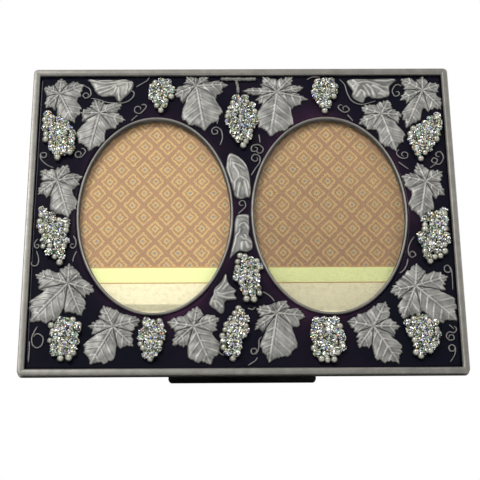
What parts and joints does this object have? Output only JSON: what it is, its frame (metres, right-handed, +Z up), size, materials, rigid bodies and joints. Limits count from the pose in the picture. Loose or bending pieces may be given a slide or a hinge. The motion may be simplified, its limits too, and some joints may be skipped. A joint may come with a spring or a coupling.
{
  "type": "double photo frame",
  "caption": "Landscape cast pewter photo frame with twin oval windows, jewelled grapevine relief on dark enamel and a velvet easel back.",
  "frame": {"origin": "on the shelf, at the middle of the standing frame's footprint", "axes": "+Z up; the face looks toward -Y and leans back by 19 degrees; +X is to the right of someone who looks at the face"},
  "size_m": [0.24, 0.089, 0.1811],
  "materials": {
    "cast_pewter": "antiqued grey pewter, satin, darker in the hollows",
    "jewelled_pewter": "pewter grapes covered with small cut stones in white, pale green, gold and violet",
    "dark_enamel": "glossy aubergine black enamel",
    "clear_glass": "clear, polished edges",
    "printed_card": "matt card printed in terracotta, ochre and cream",
    "filler_board": "plain grey board",
    "velvet_board": "black velvet over a hard board",
    "ribbon": "black woven ribbon",
    "plated_steel": "bright plated steel"
  },
  "bodies": {
    "frame": {"front_casting": "cast_pewter", "enamel_fill": "dark_enamel", "leaf_top_left_corner": "cast_pewter", "leaf_top_left_inner": "cast_pewter", "leaf_top_centre_left": "cast_pewter", "leaf_top_centre_right": "cast_pewter", "leaf_top_right_corner": "cast_pewter", "leaf_top_right_inner": "cast_pewter", "leaf_left_side": "cast_pewter", "leaf_right_side": "cast_pewter", "leaf_bottom_left_large": "cast_pewter", "leaf_bottom_left": "cast_pewter", "leaf_bottom_centre_left": "cast_pewter", "leaf_bottom_centre_right": "cast_pewter", "leaf_bottom_right": "cast_pewter", "leaf_bottom_right_large": "cast_pewter", "leaf_top_left_folded": "cast_pewter", "leaf_top_right_folded": "cast_pewter", "leaf_centre_upper": "cast_pewter", "leaf_centre_middle": "cast_pewter", "leaf_centre_lower": "cast_pewter", "grapes_top_left": "jewelled_pewter", "grapes_top_centre": "jewelled_pewter", "grapes_top_right": "jewelled_pewter", "grapes_right_upper": "jewelled_pewter", "grapes_left_upper": "jewelled_pewter", "grapes_left_lower": "jewelled_pewter", "grapes_right_lower": "jewelled_pewter", "grapes_centre": "jewelled_pewter", "grapes_bottom_centre": "jewelled_pewter", "grapes_bottom_left_corner": "jewelled_pewter", "grapes_bottom_left": "jewelled_pewter", "grapes_bottom_right": "jewelled_pewter", "grapes_bottom_right_corner": "jewelled_pewter", "tendrils": "cast_pewter", "twig": "cast_pewter", "glass_left": "clear_glass", "glass_right": "clear_glass", "print_card_left": "printed_card", "print_card_right": "printed_card", "filler_board_left": "filler_board", "filler_board_right": "filler_board", "back_board": "velvet_board", "turn_button_screws": "plated_steel", "strut_block": "velvet_board", "hinge_board_leaf": "plated_steel", "hinge_pin": "plated_steel", "hinge_rivets_board": "plated_steel", "stay_ribbon": "ribbon", "ribbon_tab_board": "ribbon"},
    "easel_leg_body": {"easel_leg": "velvet_board", "hinge_leg_leaf": "plated_steel", "hinge_rivets_leg": "plated_steel", "ribbon_tab_leg": "ribbon"},
    "turn_button_top_left_body": {"turn_button_top_left": "plated_steel"},
    "turn_button_top_right_body": {"turn_button_top_right": "plated_steel"},
    "turn_button_bottom_left_body": {"turn_button_bottom_left": "plated_steel"},
    "turn_button_bottom_right_body": {"turn_button_bottom_right": "plated_steel"}
  },
  "joints": [
    {"name": "easel_hinge", "type": "hinge", "parent": "frame", "child": "easel_leg_body", "pos_m": [0, 0.01128, 0.11766], "axis": [1, 0, 0], "range_deg": [-35, 0], "deforming": ["stay_ribbon"]},
    {"name": "turn_button_top_left_pivot", "type": "hinge", "parent": "frame", "child": "turn_button_top_left_body", "pos_m": [-0.06, 0.02587, 0.17186], "axis": [0, 0.9455, -0.3256], "range_deg": [-90, 90]},
    {"name": "turn_button_top_right_pivot", "type": "hinge", "parent": "frame", "child": "turn_button_top_right_body", "pos_m": [0.06, 0.02587, 0.17186], "axis": [0, 0.9455, -0.3256], "range_deg": [-90, 90]},
    {"name": "turn_button_bottom_left_pivot", "type": "hinge", "parent": "frame", "child": "turn_button_bottom_left_body", "pos_m": [-0.06, -0.03208, 0.00356], "axis": [0, 0.9455, -0.3256], "range_deg": [-90, 90]},
    {"name": "turn_button_bottom_right_pivot", "type": "hinge", "parent": "frame", "child": "turn_button_bottom_right_body", "pos_m": [0.06, -0.03208, 0.00356], "axis": [0, 0.9455, -0.3256], "range_deg": [-90, 90]}
  ]
}
